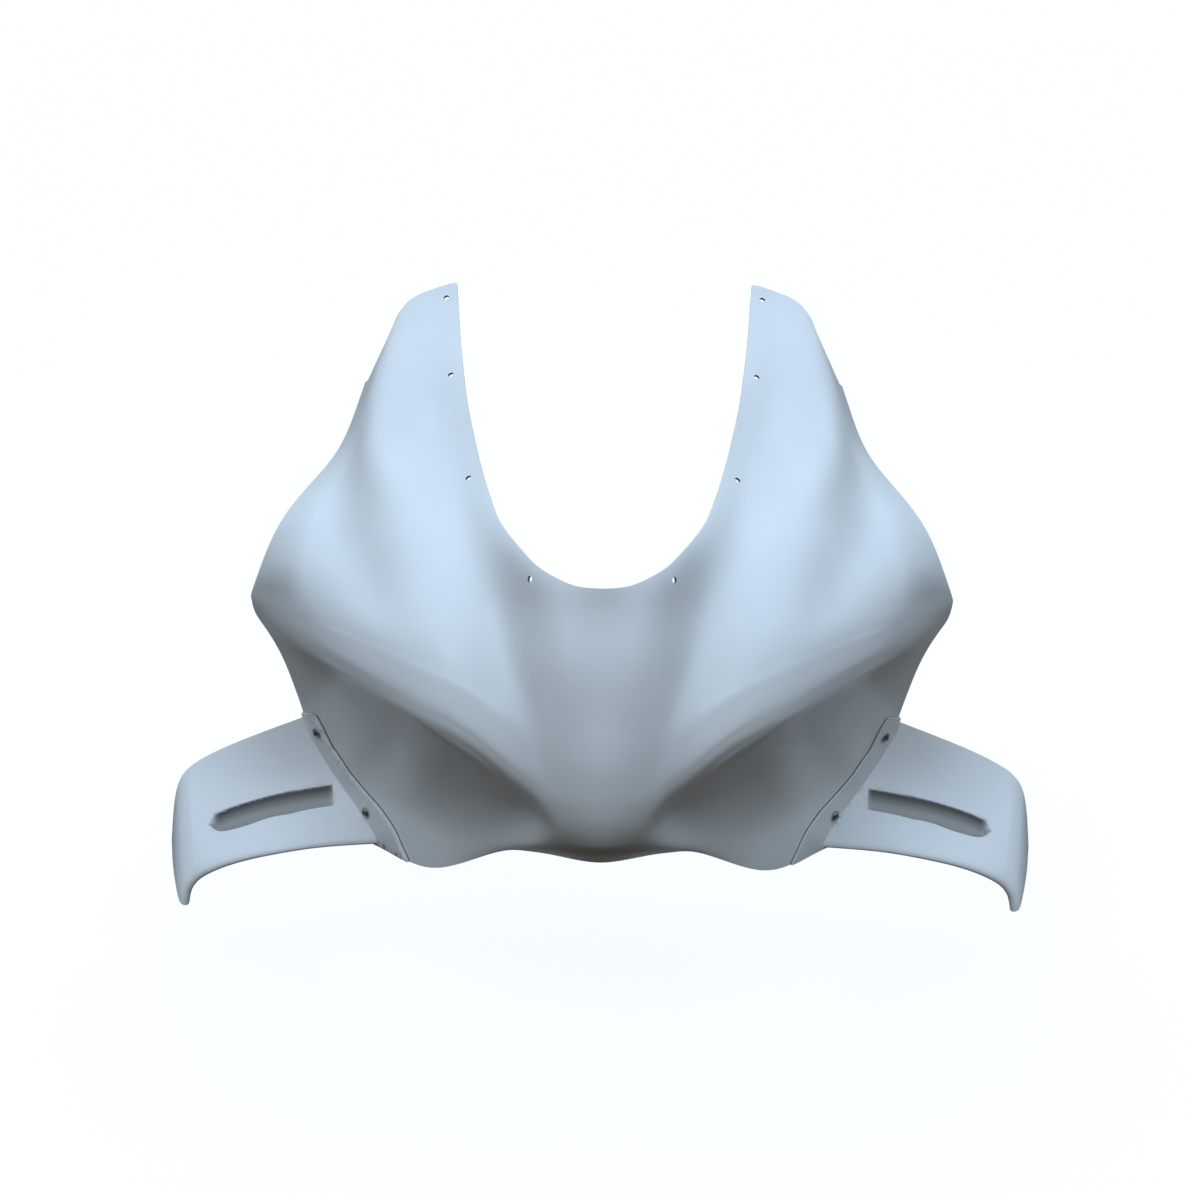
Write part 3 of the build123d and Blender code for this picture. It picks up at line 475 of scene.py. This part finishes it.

# painted shadow line on the shell, just outside the flange's edge: a dark ribbon standing for the shade in the gap
# under the flange
line_uv = resample(np.vstack([a0[None], seam, b0[None]]), 2.0, (SU, SV))
lp = surf(line_uv[:, 0], line_uv[:, 1])
ldu, ldv, ln = frame_at(line_uv[:, 0], line_uv[:, 1])
lt = unit(np.gradient(lp, axis=0))
lb = unit(np.cross(ln, lt))
lb = lb * np.where((lb * ldu).sum(1) > 0, -1.0, 1.0)[:, None]
rib = np.vstack([lp + 0.9 * ln - 0.5 * lb, lp + 0.28 * ln + 0.35 * lb, lp + 0.02 * ln + 1.15 * lb])
k = len(lp)
rf = [(0, k, 2 * k), (3 * k - 1, 2 * k - 1, k - 1)]
for r in range(3):
    n = (r + 1) % 3 * k
    rf += [(r * k + i, r * k + i + 1, n + i + 1, n + i) for i in range(k - 1)]
shadow_ribbon = to_mesh("shadow_ribbon_raw", rib, rf)
fix_normals(shadow_ribbon)
bm = bmesh.new()
bm.from_mesh(wing_l.data)
bm.from_mesh(shadow_ribbon.data)
bm.to_mesh(wing_l.data)
bm.free()
bpy.data.objects.remove(shadow_ribbon)
n_shadow_rib = 3 * k

me = wing_l.data
co = np.zeros(len(me.vertices) * 3)
me.vertices.foreach_get("co", co)
co = co.reshape(-1, 3) * 1000 + SHIFT
q = np.stack([co[:, 0], co @ E2], 1)
dist = np.full(len(q), 1e9)
for a, b in zip(flat, np.roll(flat, -1, 0)):
    ab = b - a
    t = np.clip(((q - a) @ ab) / (ab @ ab), 0, 1)
    dist = np.minimum(dist, np.linalg.norm(q - a - t[:, None] * ab, axis=1))
dist[inside(q, flat)] = 0
# depth below the nearer lip, along the slot
lip_d = np.full(len(q), 0.0)
up_s, lo_s = upper[np.argsort(upper[:, 0])], lower[np.argsort(lower[:, 0])]
du_, dl_ = np.interp(co[:, 0], up_s[:, 0], up_s @ D), np.interp(co[:, 0], lo_s[:, 0], lo_s @ D)
bu_, bl_ = np.interp(co[:, 0], up_s[:, 0], up_s @ E2), np.interp(co[:, 0], lo_s[:, 0], lo_s @ E2)
near_up = abs(q[:, 1] - bu_) < abs(q[:, 1] - bl_)
tau = co @ D - np.where(near_up, du_, dl_)
# painted shade in the slot: the walls are marked near-black just below each lip, lightening 4 to 14 mm deeper in
# and fading out at the slot's ends
s = np.clip((tau - 0.2) / 1.6, 0, 1)
s2 = np.clip((tau - 4.0) / 10.0, 0, 1)
recess = s * s * (3 - 2 * s) * (1 - 0.55 * s2) * (dist < 0.3)
recess *= np.clip((flat[:, 0].max() - 1.0 - co[:, 0]) / 7.0, 0, 1) * np.clip((co[:, 0] - flat[:, 0].min() - 0.3) / 2.5, 0, 1)
# painted shadow: the ribbon's vertices get a near-black painted shade value
recess[-n_shadow_rib:] = 0.9
at = me.attributes.get("recess") or me.attributes.new("recess", "FLOAT", "POINT")
at.data.foreach_set("value", recess.astype(np.float32))
print("recess set on", int((recess > 0.5).sum()), "of", len(recess), "attributes", [x.name for x in me.attributes])
me.polygons.foreach_set("use_smooth", [True] * len(me.polygons))
me.set_sharp_from_angle(angle=math.radians(32))
me2 = me.copy()
bm = bmesh.new()
bm.from_mesh(me2)
for vtx in bm.verts:
    vtx.co.x = -vtx.co.x
bmesh.ops.reverse_faces(bm, faces=bm.faces)
bm.to_mesh(me2)
bm.free()
wing_r = bpy.data.objects.new("right_winglet_visual", me2)
bpy.context.scene.collection.objects.link(wing_r)
print("triangles: shell", sum(len(p.vertices) - 2 for p in shell.data.polygons),
      "winglet", sum(len(p.vertices) - 2 for p in wing_l.data.polygons))


# ---- materials ------------------------------------------------------------------
def new_mat(name):
    m = bpy.data.materials.new(name)
    m.use_nodes = True
    nt = m.node_tree
    return m, nt, nt.nodes["Principled BSDF"]


def node(nt, kind, **kw):
    n = nt.nodes.new(kind)
    for k, val in kw.items():
        setattr(n, k, val)
    return n


def noise(nt, scale, detail=3.0, rough=0.55, coord="Object"):
    tc = node(nt, "ShaderNodeTexCoord")
    n = node(nt, "ShaderNodeTexNoise")
    n.inputs["Scale"].default_value = scale
    n.inputs["Detail"].default_value = detail
    n.inputs["Roughness"].default_value = rough
    nt.links.new(tc.outputs[coord], n.inputs["Vector"])
    return n.outputs[0]


def ramp(nt, src, a, b, lo=0.3, hi=0.7):
    r = node(nt, "ShaderNodeMapRange")
    nt.links.new(src, r.inputs["Value"])
    r.inputs["From Min"].default_value, r.inputs["From Max"].default_value = lo, hi
    r.inputs["To Min"].default_value, r.inputs["To Max"].default_value = a, b
    return r.outputs[0]


def mix(nt, fac, a, b):
    m = node(nt, "ShaderNodeMix", data_type="RGBA")
    if isinstance(fac, float):
        m.inputs[0].default_value = fac
    else:
        nt.links.new(fac, m.inputs[0])
    for k, c in ((6, a), (7, b)):
        if isinstance(c, tuple):
            m.inputs[k].default_value = (*c, 1)
        else:
            nt.links.new(c, m.inputs[k])
    return m.outputs[2]


def attr(nt, name):
    return node(nt, "ShaderNodeAttribute", attribute_name=name).outputs["Fac"]


def mul(nt, a, b):
    m = node(nt, "ShaderNodeMath", operation="MULTIPLY")
    nt.links.new(a, m.inputs[0])
    if isinstance(b, float):
        m.inputs[1].default_value = b
    else:
        nt.links.new(b, m.inputs[1])
    return m.outputs[0]


def gelcoat():
    m, nt, bs = new_mat("gelcoat_white")
    base = mix(nt, ramp(nt, noise(nt, 9.0, 4.0), 0.0, 1.0), (0.835, 0.84, 0.845), (0.79, 0.80, 0.81))
    strands = node(nt, "ShaderNodeTexVoronoi")
    tc = node(nt, "ShaderNodeTexCoord")
    mp = node(nt, "ShaderNodeMapping")
    mp.inputs["Scale"].default_value = (90, 420, 260)
    nt.links.new(tc.outputs["Object"], mp.inputs["Vector"])
    nt.links.new(mp.outputs[0], strands.inputs["Vector"])
    strands.inputs["Scale"].default_value = 1.0
    raw = mix(nt, ramp(nt, strands.outputs["Distance"], 0.0, 1.0, 0.1, 0.9), (0.50, 0.49, 0.42), (0.62, 0.61, 0.54))
    col = mix(nt, attr(nt, "inner"), base, raw)
    # painted shade: the shade attribute mixes the colour towards near-black brown on the slot walls, screen-hole
    # walls and the shadow ribbon
    col = mix(nt, mul(nt, attr(nt, "recess"), 0.93), col, (0.050, 0.045, 0.040))
    nt.links.new(col, bs.inputs["Base Color"])
    r1 = ramp(nt, noise(nt, 28.0, 4.0), 0.30, 0.40)
    rr = node(nt, "ShaderNodeMix", data_type="FLOAT")
    nt.links.new(attr(nt, "inner"), rr.inputs[0])
    nt.links.new(r1, rr.inputs[2])
    rr.inputs[3].default_value = 0.62
    nt.links.new(rr.outputs[0], bs.inputs["Roughness"])
    bs.inputs["Coat Weight"].default_value = 0.15
    bs.inputs["Coat Roughness"].default_value = 0.18
    b1 = node(nt, "ShaderNodeBump")
    b1.inputs["Strength"].default_value = 0.05
    b1.inputs["Distance"].default_value = 0.0006
    nt.links.new(noise(nt, 330.0, 2.0), b1.inputs["Height"])
    b0 = node(nt, "ShaderNodeBump")
    b0.inputs["Strength"].default_value = 0.10
    b0.inputs["Distance"].default_value = 0.002
    nt.links.new(noise(nt, 22.0, 1.0), b0.inputs["Height"])
    nt.links.new(b0.outputs[0], b1.inputs["Normal"])
    b2 = node(nt, "ShaderNodeBump")
    b2.inputs["Distance"].default_value = 0.0008
    nt.links.new(mul(nt, attr(nt, "inner"), 0.5), b2.inputs["Strength"])
    nt.links.new(strands.outputs["Distance"], b2.inputs["Height"])
    nt.links.new(b1.outputs[0], b2.inputs["Normal"])
    nt.links.new(b2.outputs[0], bs.inputs["Normal"])
    return m


def steel(name, dark, light, rough):
    m, nt, bs = new_mat(name)
    nt.links.new(mix(nt, ramp(nt, noise(nt, 600.0, 4.0), 0.0, 1.0), dark, light), bs.inputs["Base Color"])
    nt.links.new(ramp(nt, noise(nt, 900.0, 3.0), rough - 0.08, rough + 0.08), bs.inputs["Roughness"])
    bs.inputs["Metallic"].default_value = 1.0
    b = node(nt, "ShaderNodeBump")
    b.inputs["Strength"].default_value = 0.15
    b.inputs["Distance"].default_value = 0.0001
    nt.links.new(noise(nt, 1500.0, 2.0), b.inputs["Height"])
    nt.links.new(b.outputs[0], bs.inputs["Normal"])
    return m


gel = gelcoat()
for ob, cad in ((shell, "upper_shell"), (wing_l, "left_winglet"), (wing_r, "right_winglet")):
    ob.data.materials.clear()
    ob.data.materials.append(gel)
    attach(ob, "root")
    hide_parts(cad)
dark = steel("steel_dark", (0.30, 0.30, 0.305), (0.44, 0.44, 0.45), 0.27)
plain = steel("steel_plain", (0.42, 0.42, 0.43), (0.58, 0.58, 0.59), 0.34)
for name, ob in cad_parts.items():
    if name.endswith(("screws", "washers", "nuts")):
        ob.data.materials.clear()
        ob.data.materials.append(dark if name.endswith("screws") else plain)

# ---- floor, light, camera --------------------------------------------------------
s = 3000.0
me = bpy.data.meshes.new("floor")
me.from_pydata([(-s, -s, -0.32), (s, -s, -0.32), (s, s, -0.32), (-s, s, -0.32)], [], [(0, 1, 2, 3)])
floor = bpy.data.objects.new("floor", me)
bpy.context.scene.collection.objects.link(floor)
m, nt, bs = new_mat("floor_pale")
bs.inputs["Base Color"].default_value = (0.25, 0.25, 0.25, 1)
bs.inputs["Roughness"].default_value = 0.9
bs.inputs["Specular IOR Level"].default_value = 0.0
bs.inputs["Emission Color"].default_value = (1, 1, 1, 1)
bs.inputs["Emission Strength"].default_value = 0.80
me.materials.append(m)
floor.visible_diffuse = False
floor.visible_glossy = False
floor.visible_shadow = False

world = bpy.data.worlds.new("studio")
bpy.context.scene.world = world
world.use_nodes = True
wt = world.node_tree
bg = wt.nodes["Background"]
tc = wt.nodes.new("ShaderNodeTexCoord")
sep = wt.nodes.new("ShaderNodeSeparateXYZ")
wt.links.new(tc.outputs["Generated"], sep.inputs[0])
mr = wt.nodes.new("ShaderNodeMapRange")
mr.inputs["From Min"].default_value, mr.inputs["From Max"].default_value = -1.0, 1.0
wt.links.new(sep.outputs["Z"], mr.inputs["Value"])
cr = wt.nodes.new("ShaderNodeValToRGB")
wt.links.new(mr.outputs[0], cr.inputs[0])
el = cr.color_ramp.elements
el[0].position, el[0].color = 0.0, (0.016, 0.012, 0.009, 1)
el[1].position, el[1].color = 1.0, (0.465, 0.605, 0.785, 1)
for pos, c in ((0.510, (0.024, 0.020, 0.016, 1)), (0.580, (0.215, 0.228, 0.205, 1)),
               (0.750, (0.380, 0.466, 0.548, 1))):
    e = el.new(pos)
    e.color = c
side = wt.nodes.new("ShaderNodeMath")
side.operation = "ABSOLUTE"
wt.links.new(sep.outputs["X"], side.inputs[0])
dim = wt.nodes.new("ShaderNodeMapRange")
dim.inputs["From Min"].default_value, dim.inputs["From Max"].default_value = 0.15, 0.95
dim.inputs["To Min"].default_value, dim.inputs["To Max"].default_value = 1.13, 0.60
wt.links.new(side.outputs[0], dim.inputs["Value"])
vm = wt.nodes.new("ShaderNodeVectorMath")
vm.operation = "SCALE"
wt.links.new(cr.outputs[0], vm.inputs[0])
wt.links.new(dim.outputs[0], vm.inputs["Scale"])
wt.links.new(vm.outputs[0], bg.inputs["Color"])
bg.inputs["Strength"].default_value = 2.0

lamp = bpy.data.lights.new("soft", "AREA")
lamp.shape, lamp.size, lamp.energy = "DISK", 1.2, 4.0
lo_ = bpy.data.objects.new("soft", lamp)
bpy.context.scene.collection.objects.link(lo_)
lo_.location = (-0.9, -1.6, 2.2)
lo_.rotation_euler = (Vector((0, 0, 0)) - lo_.location).to_track_quat("-Z", "Y").to_euler()

cam = bpy.data.cameras.new("photo")
cam.lens, cam.sensor_width, cam.shift_x = 69.6, 36.0, -2.0 / 1200
cam.clip_end = 9000.0
co_ = bpy.data.objects.new("photo", cam)
bpy.context.scene.collection.objects.link(co_)
co_.matrix_world = (Matrix.Translation((0, (-1680.7 - ORIGIN_Y) / 1000, (450.3 - ORIGIN_Z) / 1000)) @
                    Matrix.Rotation(math.radians(75), 4, "X") @ Matrix.Rotation(math.radians(0.45), 4, "Z"))
bpy.context.scene.camera = co_
bpy.context.scene.view_settings.view_transform = "Standard"

bpy.context.view_layer.update()
